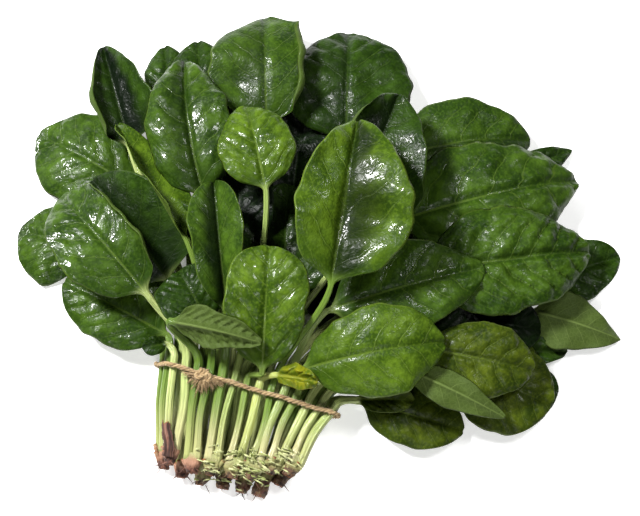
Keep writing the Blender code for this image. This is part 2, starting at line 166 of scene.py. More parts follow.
# ------------------------ the tied stalks
# Forty-two stalks lie in three rows under the cord, and every three of them grow from one
# root crown. Here are their places, in millimetres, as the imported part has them.
MM = 0.001
UP = np.array((0.0, 0.0, 1.0))
MIDDLE = np.array((-1.5, 8.5, 0.0))     # the part's origin
COLUMNS = 14
TIE_START = np.array((-94.5, -62.0))
TIE_END = np.array((-1.0, -90.0))
ROW_SHIFT = 0.5
ROW_HEIGHTS = (6.8, 13.4, 20.0)
STALK_RADII = (2.2, 2.5, 1.8)           # at the foot, at the cord, at the blade
PAST_CORD = 6.0
CROWNS = 7
CROWN_START = np.array((-93.5, -113.0))
CROWN_END = np.array((-15.0, -121.0))
CROWN_SAG = 6.5
CROWN_STAGGER = 1.3
CROWN_RADIUS = 5.2
CROWN_LENGTH = 13.0
CROWN_HEIGHTS = (5.2, 18.3)
CLUSTER_RADIUS = 3.1
FOOT_GAP = 0.5
FULL_RISE_RUN = 60.0
SHORTEST_SHARE = 0.15
ARRIVAL = 0.7
HOOK_FROM = 0.55


def unit(vectors):
    return vectors / np.linalg.norm(vectors, axis=-1, keepdims=True)


def smooth(t):
    t = np.clip(t, 0, 1)
    return t * t * (3.0 - 2.0 * t)


def spoke(side, angle):
    return side * math.cos(angle) + UP * math.sin(angle)


def slot(row, column):
    """Centre of one stalk where the cord passes round it."""
    along = (column + ROW_SHIFT * row) / (COLUMNS - 1)
    plan = TIE_START + (TIE_END - TIE_START) * along
    return np.array((plan[0], plan[1], ROW_HEIGHTS[row]))


def crown_frame(rank, number):
    """Centre of a crown's top face, its axis towards the stalks, and its side."""
    along = (number + 0.5 * rank) / (CROWNS - 0.5)
    plan = CROWN_START + (CROWN_END - CROWN_START) * along
    belly = CROWN_SAG * np.sin(np.pi * along) * (1.0 if rank else 1.5)
    stagger = CROWN_STAGGER * np.sin(2.4 * number + 1.2 * rank + 1.0)
    centre = np.array((plan[0], plan[1] - belly + stagger - 2.0 * (1 - rank), CROWN_HEIGHTS[rank]))
    row = 2 if rank else 0
    aim = (slot(row, 2 * number) + slot(row, 2 * number + 1)) / 2.0
    axis = unit(np.array((aim[0] - centre[0], aim[1] - centre[1], 0.0)))
    return centre, axis, np.array((axis[1], -axis[0], 0.0))


def foot(row, column):
    """Where a stalk leaves its crown, and the crown's axis."""
    rank = 1 if row == 2 or (row == 1 and column % 2) else 0
    centre, axis, side = crown_frame(rank, column // 2)
    if row == 1:
        angle = -90.0 if rank else 90.0
    else:
        angle = (150.0 if column % 2 == 0 else 30.0) * (1 if rank else -1)
    return centre + axis * FOOT_GAP + spoke(side, math.radians(angle)) * CLUSTER_RADIUS, axis


def hermite(start, end, start_pull, end_pull, s):
    return ((2 * s ** 3 - 3 * s ** 2 + 1) * start + (s ** 3 - 2 * s ** 2 + s) * start_pull
            + (3 * s ** 2 - 2 * s ** 3) * end + (s ** 3 - s ** 2) * end_pull)


def route(shape, rise, q):
    """Leaf centreline: 0 to 1 foot to cord, 1 to 2 cord to blade, 2 to 3 the blade."""
    start, axis = foot(shape.row, shape.column)
    tie = slot(shape.row, shape.column)
    stalk_run = np.linalg.norm(np.array(shape.base) - tie[:2])
    share = np.clip(stalk_run / FULL_RISE_RUN, SHORTEST_SHARE, 1.0)
    base = np.array((*shape.base, shape.lift + rise * share), float)
    tip = np.array((*shape.tip, shape.lift + rise + shape.droop), float)
    run = unit(tip - base)
    aside = unit(np.array((run[1], -run[0], 0.0)))
    middle = (base + tip) / 2.0 + aside * shape.bend * 2.0
    middle[2] += shape.arch * 2.0
    heading = unit(tie - start)
    tie = tie + heading * PAST_CORD
    q = np.asarray(q, float)[:, None]
    on_stem, on_stalk, s = (np.clip(q - start_q, 0, 1) for start_q in range(3))
    reach = np.linalg.norm(tie - start)
    stem = hermite(start, tie, axis * reach, heading * reach, on_stem)
    reach = np.linalg.norm(base - tie)
    arrival = unit(unit(middle - base) + unit(base - tie) * ARRIVAL)
    stalk = hermite(tie, base, heading * reach, arrival * reach * 0.9, on_stalk)
    blade = (1 - s) ** 2 * base + 2 * s * (1 - s) * middle + s ** 2 * tip
    bent = np.clip((s[:, 0] - HOOK_FROM) / (1 - HOOK_FROM), 0.0, 1.0)
    blade[:, 2] -= shape.hook * bent ** 2
    return np.where(q <= 1.0, stem, np.where(q <= 2.0, stalk, blade))


# ------------------------ leaves
# Each leaf is one grown piece: a ribbed stalk that runs on as the midrib of a thin, wet,
# quilted blade, glossy green above and pale and matt below. Blades lie on each other.
BLADE_THICKNESS = 1.2
RIB_DEPTH = 1.0
CURL_FROM = 0.55
SECTION_STEPS = 40
TANGENT_STEP = 0.02


def leaf(name, row, column, base, tip, width, **own):
    """One leaf: its place in the bundle, blade base and tip in plan (mm) and its shape.

    lift, droop, arch, bend and hook carry the blade up, down and aside in mm; roll, cup, fold
    and curl turn it, in degrees; point, broad, spread and lobes are its outline; quilt, swell
    and dents its relief; wet and tone its skin; and a left and a right share of painted shade
    darken the inside of its halves.
    """
    shape = dict(lift=14, droop=-4, arch=6, bend=0, roll=0, cup=15, fold=0,
                 ruffle=1, waves=2.5, point=2.2, broad=0.45, curl_left=0, curl_right=0,
                 hook=0, skew=0, tone="green", quilt=0.7, pairs=6, wet=0.25, swell=2.2,
                 spread=1, hollow=(0, 0), dents=(), lobes=())
    shape.update(own, name="leaf_" + name, row=row, column=column, base=base, tip=tip, width=width)
    return SimpleNamespace(**shape)


LEAVES = (
    leaf("far_left", 0, 0, (-143, 8), (-187, 26), 54, lift=4, cup=-18, arch=4, hook=4, wet=0.8),
    leaf("left_upper", 0, 1, (-108, 46), (-178, 88), 66, lift=6, droop=-5, cup=-14, arch=8, hook=5,
         wet=1.0),
    leaf("upper_left_lobe", 0, 2, (-88, 80), (-100, 146), 34, lift=7, tone="dark", cup=-16),
    leaf("upper_left_back", 0, 3, (-71, 80), (-78, 148), 46, lift=8, tone="dark", cup=-14),
    leaf("back_middle", 0, 5, (-18, 36), (-10, 104), 54, lift=7, tone="deep", wet=0.0),
    leaf("top", 0, 4, (-33, 84), (-35, 162), 70, lift=12, cup=-10, arch=10, curl_right=170, point=2.6,
         broad=0.5, hook=6, wet=0.35, quilt=0.3, hollow=(0.4, 0), dents=((0.35, -0.5, 12, 5),)),
    leaf("top_right", 0, 6, (16, 76), (18, 155), 84, lift=9, cup=-12, arch=10, tone="dark", broad=0.5,
         hook=5, wet=0.35, quilt=0.9, hollow=(0.45, 0), dents=((0.5, 0.45, 12, 5), (0.35, -0.4, 10, 4))),
    leaf("right_point", 0, 8, (104, 48), (159, 78), 24, lift=5, point=1.1, tone="dark"),
    leaf("inner_right", 0, 9, (0, -42), (60, 42), 44, lift=6, tone="deep", broad=0.26, wet=0.0,
         spread=1.15, lobes=((-1, 0.03, 0.12, 1.2),)),
    leaf("right_upper", 0, 7, (42, 64), (132, 80), 58, lift=10, cup=-12, arch=10, broad=0.42, bend=-3,
         hook=4, wet=0.1, hollow=(0, 0.4), dents=((0.4, 0.35, 10, 4), (0.68, -0.3, 9, 3))),
    leaf("far_right", 0, 10, (126, -12), (186, 8), 42, lift=4, arch=4, ruffle=2.2, tone="dark", point=1.6,
         waves=3),
    leaf("right_pale", 0, 11, (128, -28), (183, -45), 38, lift=6, roll=180, cup=12, point=1.05,
         broad=0.36, tone="pale", quilt=0.3),
    leaf("low_right_point", 0, 12, (98, -54), (151, -52), 24, lift=4, tone="dark", point=1.15),
    leaf("low_right_round", 0, 13, (96, -74), (145, -76), 32, lift=4, arch=3, tone="dark", point=2.8,
         broad=0.55),
    leaf("low_left_pale", 1, 0, (-92, -44), (-156, -10), 48, cup=-8, droop=-2, wet=0.9,
         lobes=((1, 0.18, 0.2, 0.8),)),
    leaf("left_folded", 1, 1, (-90, -14), (-140, 52), 56, lift=24, fold=8, cup=20, roll=8, tone="dark",
         wet=0.0, spread=1.12, quilt=0.5, hollow=(0.75, 0.7), dents=((0.4, -0.3, 14, 6),),
         lobes=((1, 0.14, 0.2, 0.95),)),
    leaf("upper_left_tall", 1, 2, (-117, 72), (-137, 141), 50, lift=20, fold=14, cup=36, curl_left=110,
         point=1.15, broad=0.42, tone="dark", wet=0.4, quilt=0.4, hollow=(0.5, 1),
         lobes=((1, 0.15, 0.15, 0.4),)),
    leaf("middle_left_dark", 1, 5, (-52, 4), (-48, 62), 38, lift=22, tone="deep", wet=0.0, spread=1.2),
    leaf("middle_dark", 1, 6, (-22, -24), (-20, 52), 52, tone="dark", broad=0.4, spread=1.1,
         lobes=((1, 0.25, 0.2, 0.35),)),
    leaf("left_strip", 1, 3, (-79, 8), (-124, 82), 38, lift=34, fold=24, roll=-52, point=1.8,
         tone="bright", wet=0.05, quilt=0.15),
    leaf("middle_square", 2, 3, (-66, -40), (-84, -9), 38, lift=26, tone="dark", point=3.4, broad=0.5,
         spread=1.15),
    leaf("upper_left_glossy", 1, 4, (-69, 34), (-84, 126), 54, lift=26, fold=22, cup=-44, arch=10,
         bend=-3, point=1.9, broad=0.4, hook=4, wet=1.0, hollow=(0.5, 0.1), swell=3.0),
    leaf("right_bumpy", 1, 8, (43, 24), (160, 54), 68, broad=0.38, lift=20, cup=-16, arch=14, hook=6,
         wet=0.7, quilt=1.5, swell=3.5, spread=1.04, dents=((0.4, 0.4, 12, 4), (0.65, -0.4, 9, 3))),
    leaf("right_crinkled", 1, 9, (60, -10), (164, 6), 66, lift=18, cup=-12, arch=10, ruffle=1.8, hook=5,
         quilt=2.0, pairs=8.0, swell=4.0, dents=((0.55, 0.3, 12, 5), (0.35, -0.4, 9, 4))),
    leaf("centre_back", 1, 7, (12, 0), (48, 98), 78, lift=24, fold=14, cup=20, curl_left=100, roll=-4,
         droop=8, broad=0.42, point=1.25, tone="dark", wet=0.4, hollow=(0.8, 0.2), quilt=0.4, swell=3.0),
    leaf("right_low_dark", 1, 10, (84, -36), (134, -40), 40, lift=12, tone="deep", wet=0.0),
    leaf("low_middle_dark", 1, 11, (48, -48), (100, -44), 36, lift=12, tone="deep", wet=0.0),
    leaf("low_right_large", 1, 12, (82, -62), (139, -86), 62, lift=12, cup=-12, wet=0.3,
         dents=((0.5, -0.4, 10, 4),), tone="olive"),
    leaf("low_right_bottom", 1, 13, (24, -84), (86, -101), 38, lift=11, cup=-14, wet=0.2, tone="olive"),
    leaf("tie_left_small", 2, 0, (-92, -50), (-106, -54), 12, lift=17, droop=-3, tone="dark", ruffle=0.5,
         arch=2),
    leaf("left_glossy", 2, 1, (-102, -24), (-158, 40), 58, lift=34, cup=10, arch=10, curl_right=130,
         broad=0.5, hook=5, wet=1.0),
    leaf("middle_shiny", 2, 5, (-32, 36), (-44, 92), 45, lift=44, point=2.6, cup=-12, hook=4,
         tone="bright", wet=1.0),
    leaf("middle_folded", 2, 4, (-55, -36), (-63, 42), 40, lift=30, droop=6, fold=44, cup=-12, roll=6,
         broad=0.6, point=2.6, wet=0.5, quilt=0.3, hollow=(0.85, 0)),
    leaf("centre", 2, 8, (6, -26), (22, 74), 72, lift=42, fold=26, cup=-16, skew=0.2, droop=8, point=1.5,
         broad=0.42, tone="bright", hook=6, wet=0.55, hollow=(0, 0.8), swell=4.5, quilt=0.5,
         dents=((0.42, 0.35, 14, 7), (0.7, -0.5, 10, 3))),
    leaf("right_veined", 2, 9, (4, -34), (98, -8), 56, lift=30, cup=-14, arch=10, droop=4, point=1.7,
         hook=4, wet=0.5, quilt=0.9, dents=((0.75, -0.3, 10, 3),)),
    leaf("low_right_oval", 2, 11, (60, -56), (126, -68), 44, lift=24, cup=-16, roll=-8, broad=0.55,
         hook=4, wet=0.3, quilt=0.9, dents=((0.5, 0.4, 9, 3),), tone="olive"),
    leaf("low_right_olive", 2, 12, (50, -68), (108, -96), 22, lift=26, roll=180, cup=10, point=1.2,
         tone="pale", quilt=0.3),
    leaf("low_right_small", 2, 13, (22, -84), (56, -84), 18, lift=20, arch=3, tone="olive"),
    leaf("front_spoon", 2, 6, (-34, -70), (-29, 1), 50, lift=27, cup=14, arch=8, droop=18, point=2.6,
         broad=0.58, hook=5, tone="bright", wet=1.0, quilt=0.8),
    leaf("draped_underside", 2, 2, (-87, -42), (-34, -55), 26, lift=38, roll=160, cup=30, point=1.2,
         broad=0.35, tone="pale", quilt=1.6, pairs=9.0, swell=4.0),
    leaf("front_oval", 2, 10, (-12, -69), (73, -54), 54, lift=29, cup=-18, arch=12, roll=-10, hook=6,
         broad=0.52, tone="bright", wet=0.35, quilt=0.45),
    leaf("yellowed_small", 2, 7, (-26, -71), (-1, -77), 12, lift=26, arch=3, fold=20, tone="yellow",
         quilt=2.2, pairs=4.0, swell=5.0, spread=1.25),
)


def outline(shape, t):
    """Half width of the blade along its length, as a share of its widest."""
    broad = shape.broad
    low = np.clip((broad - t) / broad, 0.0, 1.0)
    high = np.clip((t - broad) / (1.0 - broad), 0.0, 1.0)
    return np.where(t < broad, (1 - low ** 2) ** 0.7, (1 - high ** shape.point) ** 0.62)


def section(shape, t, across):
    """Sideways run, rise and slope of the blade's cross-section, for a half width of one."""
    grid = np.linspace(0.0, 1.0, SECTION_STEPS + 1)
    rolled = (smooth(t * 4) * smooth((1 - t) * 4))[:, None]
    rolled = rolled * smooth((grid - CURL_FROM) / (1 - CURL_FROM))
    index = np.rint(np.abs(across) * SECTION_STEPS).astype(int)
    runs, rises, slopes = (np.zeros((len(t), len(across))) for _ in range(3))
    for hand, curl in ((-1, shape.curl_left), (1, shape.curl_right)):
        mine = across * hand > 0
        slope = np.radians(shape.fold + shape.cup * grid + curl * rolled)
        for result, part_of in ((runs, np.cos(slope)), (rises, np.sin(slope))):
            walk = np.cumsum((part_of[:, 1:] + part_of[:, :-1]) / 2 / SECTION_STEPS, axis=1)
            result[:, mine] = np.pad(walk, ((0, 0), (1, 0)))[:, index[mine]]
        runs[:, mine] *= hand * (1 + hand * shape.skew)
        slopes[:, mine] = slope[:, index[mine]] * hand
    return runs, rises, slopes


def ring_corners(top_points):
    """Across position, angle and face of the points round a leaf: top, then underside."""
    top = np.linspace(-1.0, 1.0, top_points)
    across = np.concatenate((top, top[-2:0:-1]))
    corners = len(across)
    angle = np.pi - 2 * np.pi * np.arange(corners) / corners
    face = np.where(np.arange(corners) < top_points, 1.0, -1.0)
    face[[0, top_points - 1]] = 0.0
    return across, angle, face


def leaf_rings(shape, rise, q, ring, thickness, rib_width, relief=0.0, widen=1.0, ribs=1.0, sway=0.0):
    """Rings of points round the leaf at each station q."""
    across, angle, face = ring
    centre = route(shape, rise, q)
    tangent = unit(route(shape, rise, np.clip(q + TANGENT_STEP, 0, 3))
                   - route(shape, rise, np.clip(q - TANGENT_STEP, 0, 3)))
    side = unit(np.cross(tangent, UP))
    normal = np.cross(side, tangent)
    t = np.clip(q - 2.0, 0, 1)
    roll = math.radians(shape.roll)
    side, normal = (side * math.cos(roll) + normal * math.sin(roll),
                    normal * math.cos(roll) - side * math.sin(roll))
    radius = np.interp(q, (0, 1, 2), STALK_RADII)[:, None] * ribs
    half = (shape.width / 2.0 * outline(shape, t))[:, None] * widen
    lateral, height, slope = section(shape, t, across)
    wave = np.sin(2 * np.pi * shape.waves * t[:, None] + 1.3 * (across > 0) + shape.column)
    ruffle = shape.ruffle * across ** 2 * wave * smooth(t * 4)[:, None]
    centre = centre + side * (sway * np.sin(np.pi * np.clip(q, 0, 1)) ** 2)[:, None]
    rib = RIB_DEPTH * (1 - t)[:, None] * np.exp(-(across * half / rib_width) ** 2)
    offset = relief + thickness / 2 * face - np.where(face < 0, rib, 0.0)
    lateral = half * lateral - offset * np.sin(slope)
    height = half * height + ruffle + offset * np.cos(slope)
    open_blade = smooth(t / 0.14)[:, None]
    a = radius * np.cos(angle) * (1 - open_blade) + lateral * open_blade
    b = radius * np.sin(angle) * (1 - open_blade) + height * open_blade
    rings = centre[:, None] + side[:, None] * a[..., None] + normal[:, None] * b[..., None]
    lowest = np.where(face < 0, 0.0, np.where(face > 0, thickness, thickness / 2))
    rings[..., 2] = np.maximum(rings[..., 2], lowest)
    return rings


PLAIN_RING = ring_corners(5)
PLAIN_STATIONS = np.array((0.0, 0.35, 0.7, 1.0, 1.3, 1.6, 1.85, 2.0, 2.08, 2.2, 2.36, 2.54,
                           2.72, 2.87, 2.97))
HIGHEST_LIFT = 90


def found_rise(shape):
    """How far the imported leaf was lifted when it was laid, from its packed box."""
    low, high = (np.array(corner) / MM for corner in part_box(shape.name))
    misses = []
    for rise in range(HIGHEST_LIFT + 1):
        rings = leaf_rings(shape, rise, PLAIN_STATIONS, PLAIN_RING, BLADE_THICKNESS, 0.1)
        points = rings.reshape(-1, 3) - MIDDLE
        misses.append(np.abs(points.max(0) - high).sum() + np.abs(points.min(0) - low).sum())
    return float(np.argmin(misses))


def cells(x, y, size, seed):
    """Of points strewn one to a square, how much nearer the nearest is than the next."""
    gaps = []
    for dx in (-1, 0, 1):
        for dy in (-1, 0, 1):
            cx, cy = np.floor(x / size) + dx, np.floor(y / size) + dy
            jitter = np.sin(cx * 127.1 + cy * 311.7 + seed) * 43758.5453
            other = np.sin(cx * 269.5 + cy * 183.3 + seed) * 43758.5453
            px = cx + jitter - np.floor(jitter)
            py = cy + other - np.floor(other)
            gaps.append(np.hypot(x / size - px, y / size - py))
    near, following = np.sort(gaps, axis=0)[:2]
    return following - near


def drift(x, size, seed):
    """A slow irregular wave along x."""
    return (np.sin(x / size * 2.1 + seed) + 0.6 * np.sin(x / size * 4.7 + seed * 1.7)
            + 0.4 * np.sin(x / size * 8.3 + seed * 2.3)) / 2.0


def blade_relief(shape, q, ring, seed):
    """Quilting, vein grooves and frill in mm, the outline's wander, and blade coordinates."""
    across = ring[0]
    t = np.clip(q - 2.0, 0, 1)[:, None]
    length = np.linalg.norm(np.subtract(shape.tip, shape.base))
    widest, quilt = shape.width / 2.0, shape.quilt
    x = across * (widest * outline(shape, t[:, 0]))[:, None]
    y = t * length + 0 * x
    hand = np.sign(across) + 0 * x
    lean = 0.60 * np.abs(x) + 0.45 * x ** 2 / widest
    phase = ((y - lean) / length * shape.pairs + 0.4 * (x > 0)
             + 0.10 * drift(x, 9.0, seed) + 0.10 * drift(y, 17.0, seed + hand))
    off_vein = np.abs(phase - np.round(phase))
    inner = smooth(np.abs(x) / 5.0) * smooth((1 - np.abs(across)) * 3.0)
    pillow = np.sqrt(np.clip(1 - (1 - 2 * off_vein) ** 2, 0, 1))
    bulge = 1.6 * quilt * pillow * inner
    off_rib = smooth(np.abs(x) / 3.0)
    blister = 0.45 * quilt * smooth(cells(x + 200, y * 0.85 + 200, 8.0, seed) / 0.7) * off_rib
    blister = blister + 0.26 * quilt * smooth(cells(x + 400, y + 400, 5.2, seed + 5) / 0.6) * off_rib
    blister = blister + 0.16 * shape.wet * smooth(cells(x + 300, y + 300, 4.5, seed + 3) / 0.7)
    groove = -0.9 * (1 - 0.6 * t) * np.exp(-(x / 1.6) ** 2)
    frill = shape.ruffle * np.abs(across) ** 4 * 0.8 * drift(y + hand * 40, 12.0, seed)
    swell = shape.swell * np.abs(across) ** 1.3 * drift(y + hand * 50, 30.0, seed + 9)
    grown = smooth(t * 5)
    relief = (bulge + blister + groove + frill + swell) * grown
    for dent_t, dent_x, size, dent_depth in shape.dents:
        apart = ((y - dent_t * length) / size) ** 2 + ((x - dent_x * widest) / size) ** 2
        relief = relief - dent_depth * np.exp(-apart)
    # depth is how high the quilting swells; the skin darkens its low parts with painted shade.
    depth = (pillow * inner * 0.6 + blister / max(quilt, 0.1) * 0.5) * grown
    widen = shape.spread + 0.06 * drift(y + hand * 31, 19.0, seed + 2) * smooth(t * 3)
    for lobe_hand, lobe_t, size, amount in shape.lobes:
        widen = widen + amount * np.exp(-((t - lobe_t) / size) ** 2) * smooth(x * lobe_hand / 4)
    return relief, widen, x, y, phase, depth


# What lies under a leaf: the height of everything laid so far, on a fine square grid.
GROUND_STEP = 0.8
GROUND_CORNER = np.array((-205.0, -175.0))
ground = np.zeros((520, 440))
REST_GAP = 0.25
MOST_LIFT = 3.0


def settle(rings, q, top_points):
    """Drape a leaf over what lies below it, and add it to the ground."""
    def plot(points):
        index = ((points[..., :2] - GROUND_CORNER) / GROUND_STEP).astype(int)
        return index[..., 0], index[..., 1]

    need = ground[plot(rings)] + REST_GAP - rings[..., 2]
    need = np.where(need > MOST_LIFT, 0.0, np.maximum(need, 0.0))
    sheet = need[:, :top_points].copy()
    sheet[:, 1:-1] = np.maximum(sheet[:, 1:-1], need[:, top_points:][:, ::-1])
    sheet[q < 1.1] = 0.0
    on_stalk = (q >= 1.1) & (q < 2.06)
    sheet[on_stalk] = sheet[on_stalk].max(axis=1, keepdims=True)
    lift = sheet.copy()
    for _ in range(24):
        wide = np.pad(lift, 1, mode="edge")
        wide = (wide[:-2, 1:-1] + wide[2:, 1:-1] + wide[1:-1, :-2] + wide[1:-1, 2:]) / 4
        lift = np.maximum(sheet, wide)
        lift[q < 1.1] = 0.0
    rings[:, :top_points, 2] += lift
    rings[:, top_points:, 2] += lift[:, 1:-1][:, ::-1]
    top = rings[q >= 1.1][:, :top_points]
    top = np.stack((top[:-1], (top[:-1] + top[1:]) / 2), 1).reshape(-1, top_points, 3)
    top = np.concatenate((top, (top[:, 1:] + top[:, :-1]) / 2), axis=1)
    np.maximum.at(ground, plot(top), top[..., 2])


def make_mesh(name, shells, finish, lowest=0.0):
    """One mesh of closed tubes; each shell is its rings of points and its point fields."""
    points, faces, fields_of = [], [], {}
    start = 0
    for rings, values in shells:
        count, corners = rings.shape[:2]
        rings[..., 2] = np.maximum(rings[..., 2], lowest)
        points.append((rings.reshape(-1, 3) - MIDDLE) * MM)
        for key, value in values.items():
            value = np.broadcast_to(np.asarray(value, float), (count, corners))
            fields_of.setdefault(key, []).append(value.ravel())
        here = start + np.arange(count * corners).reshape(count, corners)
        beside = np.roll(here, -1, axis=1)
        quads = np.stack((here[:-1], here[1:], beside[1:], beside[:-1]), -1)
        faces += quads.reshape(-1, 4).tolist() + [here[0].tolist(), here[-1, ::-1].tolist()]
        start += here.size
    mesh = bpy.data.meshes.new(name)
    mesh.from_pydata(np.concatenate(points).tolist(), [], faces)
    mesh.materials.append(finish)
    mesh.shade_smooth()
    for key, values in fields_of.items():
        kept = mesh.attributes.new(key, "FLOAT", "POINT")
        kept.data.foreach_set("value", np.concatenate(values).astype(np.float32))
    return add_object(name, mesh)


def new_group(name, colours, numbers, results):
    """A node group that is given colours and numbers, and results in a colour and numbers."""
    group = bpy.data.node_groups.new(name, "ShaderNodeTree")
    for way, kind, names in (("INPUT", "Color", colours), ("INPUT", "Float", numbers),
                             ("OUTPUT", "Color", ("Base Color",)), ("OUTPUT", "Float", results)):
        for socket in names:
            group.interface.new_socket(socket, in_out=way, socket_type="NodeSocket" + kind)
    given = group.nodes.new("NodeGroupInput").outputs[:-1]
    return group, given, group.nodes.new("NodeGroupOutput")


def fields(group, names):
    return [add_node(group, "Attribute", {}, attribute_name=name)["Fac"]
            for name in names.split()]


def ramp(value, low, high, start=0.0, end=1.0):
    return add_node(value.id_data, "MapRange",
                    {"Value": value, "From Min": low, "From Max": high, "To Min": start, "To Max": end},
                    interpolation_type="SMOOTHSTEP")["Result"]


def maths(operation, first, second=0.0):
    return add_node(first.id_data, "Math", {0: first, 1: second},
                    operation=operation)[0]


def times(first, second):
    return maths("MULTIPLY", first, second)


def plus(first, second):
    return maths("ADD", first, second)


def blended(share, first, second):
    """A number between two, by a share from 0 to 1."""
    return add_node(share.id_data, "Mix", {0: share, 2: first, 3: second})[0]


def point(x, y, z=0.0):
    return add_node(x.id_data, "CombineXYZ", {0: x, 1: y, 2: z})[0]


def skin_finish(name, group, given, fixed, relief=MM):
    """A material that wears a skin group, whose results feed the shader's inputs of that name."""
    finish, tree, shader = new_finish(name)
    skin = add_node(tree, "Group", given, node_tree=group)
    bump = add_node(tree, "Bump", {"Height": skin["Height"], "Distance": relief})
    wired = {result.name: result for result in skin if result.name != "Height"}
    set_inputs(shader, {**wired, **fixed, "Normal": bump["Normal"],
                        "Coat Normal": bump["Normal"]})
    return finish


def leaf_skin_group():
    """Colour, gloss and height of a leaf, from its stalk's foot to its margin."""
    group, given, result = new_group(
        "leaf_skin", ("Deep", "Light", "Vein", "Underside", "Stalk", "Foot"),
        ("Wet", "Left painted shade", "Right painted shade", "Seed"), ("Roughness", "Coat Weight", "Height"))
    deep, light, vein_colour, underside, green, white, wet, left, right, seed = given
    across, along, stem, phase, upper = fields(group, "across along stem vein upper")
    rim, rib, on_stalk, depth, turn = fields(group, "rim rib on_stalk depth turn")
    shift = times(seed, 17.0)
    place = point(across, along, shift)
    clouds = noise(place, 0.055, 3)
    mottle = noise(place, 0.24, 3)
    patches = noise(place, 0.16)
    specks = noise(place, 0.6, 3)
    veinlets = add_node(group, "TexVoronoi", {"Vector": place, "Scale": 0.42},
                        feature="DISTANCE_TO_EDGE")["Distance"]
    net = ramp(veinlets, 0, 0.10, 1, 0)
    off = maths("SUBTRACT", maths("FRACT", plus(phase, 0.5)), 0.5)
    vein = times(ramp(maths("ABSOLUTE", off), 0.01, 0.045, 1, 0), ramp(rim, 0.55, 0.95, 1, 0.1))
    midrib = ramp(rib, 0.45, 1, 1, 0)

    top = mixed(ramp(clouds, 0.33, 0.62), deep, light)
    top = mixed(times(ramp(mottle, 0.42, 0.62), 0.45), top, deep)
    # Painted shade: the valleys between the quilted pillows and the grooves of the fine vein net are
    # darkened on the upper side.
    top = mixed(times(ramp(depth, 0.25, 0.9, 1, 0), 0.65), top, deep)
    top = mixed(times(net, 0.30), top, deep)
    top = mixed(times(ramp(specks, 0.45, 0.7), 0.5), top, light)
    lines = maths("MAXIMUM", times(vein, 0.30), times(midrib, ramp(stem, 2, 2.8, 0.75, 0.10)))
    lines = maths("MAXIMUM", lines, ramp(rim, 0.95, 0.99, 0, 0.55))
    top = mixed(lines, top, vein_colour)
    # Painted shade: the blade darkens towards its base, where the leaves above shade it.
    top = mixed(ramp(stem, 2.02, 2.5, 0.5, 0), top, deep)
    # Painted shade: the inner part of the left or right half is darkened towards near black, as if shaded
    # inside its cup.
    painted_shade_share = ramp(plus(rim, times(clouds, 0.5)), 0.55, 1.05, 1, 0)
    painted_shade_share = times(painted_shade_share, blended(ramp(across, -1.5, 1.5), left, right))
    top = mixed(painted_shade_share, top, PAINTED_SHADE_BLACK)

    below = mixed(times(ramp(patches, 0.3, 0.7), 0.4), underside, light)
    below = mixed(times(ramp(depth, 0.2, 0.9), 0.35), below, light)
    lines = maths("MAXIMUM", times(net, 0.25), times(midrib, 0.75))
    below = mixed(maths("MAXIMUM", times(vein, 0.55), lines), below, vein_colour)

    threads = noise(point(times(turn, 6), times(stem, 3), shift), 1, 4)
    stalk = mixed(ramp(threads, 0.35, 0.65, 0, 0.55), green, light)
    stalk = mixed(ramp(stem, 0.6, 1.6, 0, 0.12), stalk, light)
    bleached = plus(stem, times(threads, 0.35))
    stalk = mixed(ramp(bleached, 0.22, 0.95, 1, 0), stalk, white)

    matt = blended(upper, ramp(specks, 0.3, 0.7, 0.52, 0.64), ramp(patches, 0.3, 0.7, 0.32, 0.46))
    film = times(upper, ramp(patches, 0.48, 0.62, 0.06, 1))
    film = times(film, times(wet, 0.6))

    streaks = times(noise(point(times(phase, 3.2), times(across, 0.16), shift), 1), 0.9)
    ripples = times(plus(times(noise(place, 0.40, 1), 0.5), streaks), ramp(wet, 0, 1, 0.15, 0.50))
    puckers = times(ramp(veinlets, 0, 0.35), ramp(wet, 0, 1, 0.10, 0.04))
    puckers = maths("SUBTRACT", plus(puckers, ripples), times(vein, 0.14))
    puckers = blended(upper, times(puckers, -0.8), puckers)
    set_inputs(result, {"Base Color": mixed(on_stalk, mixed(upper, below, top), stalk),
                        "Roughness": blended(on_stalk, matt, 0.33),
                        "Coat Weight": blended(on_stalk, film, 0.35),
                        "Height": blended(on_stalk, puckers, times(threads, 0.45))})
    return group


LEAF_TONES = {                          # slot, then the deep, the light and the vein colour
    # The deep tone is painted shade: leaves coloured near black where they lie in the shade deep inside
    # the bunch.
    "deep": ("leaf_dark", (0.001, 0.003, 0.0006), (0.004, 0.011, 0.0015), (0.012, 0.025, 0.005)),
    "dark": ("leaf_dark", (0.005, 0.014, 0.001), (0.021, 0.047, 0.004), (0.040, 0.070, 0.010)),
    "green": ("leaf_green", (0.009, 0.023, 0.0020), (0.038, 0.076, 0.006), (0.070, 0.110, 0.015)),
    "bright": ("leaf_bright", (0.016, 0.036, 0.002), (0.066, 0.115, 0.007), (0.10, 0.15, 0.02)),
    "olive": ("leaf_green", (0.013, 0.024, 0.0015), (0.056, 0.078, 0.005), (0.085, 0.12, 0.018)),
    "pale": ("leaf_underside", (0.012, 0.026, 0.003), (0.040, 0.064, 0.010), (0.085, 0.12, 0.030)),
    "yellow": ("leaf_yellowed", (0.035, 0.065, 0.004), (0.19, 0.18, 0.006), (0.25, 0.25, 0.03)),
}
# the near-black of the painted shade inside a leaf's halves
PAINTED_SHADE_BLACK = (0.0015, 0.004, 0.001)
UNDERSIDE = (0.038, 0.058, 0.012)
STALK_COLOURS = ((0.085, 0.150, 0.020), (0.40, 0.46, 0.17))      # greenest and palest
FOOT_COLOURS = ((0.22, 0.25, 0.075), (0.38, 0.34, 0.19))
leaf_skin = leaf_skin_group()


def between(colours, phase):
    share = 0.5 + 0.5 * math.sin(phase)
    return tuple(first + (second - first) * share for first, second in zip(*colours))


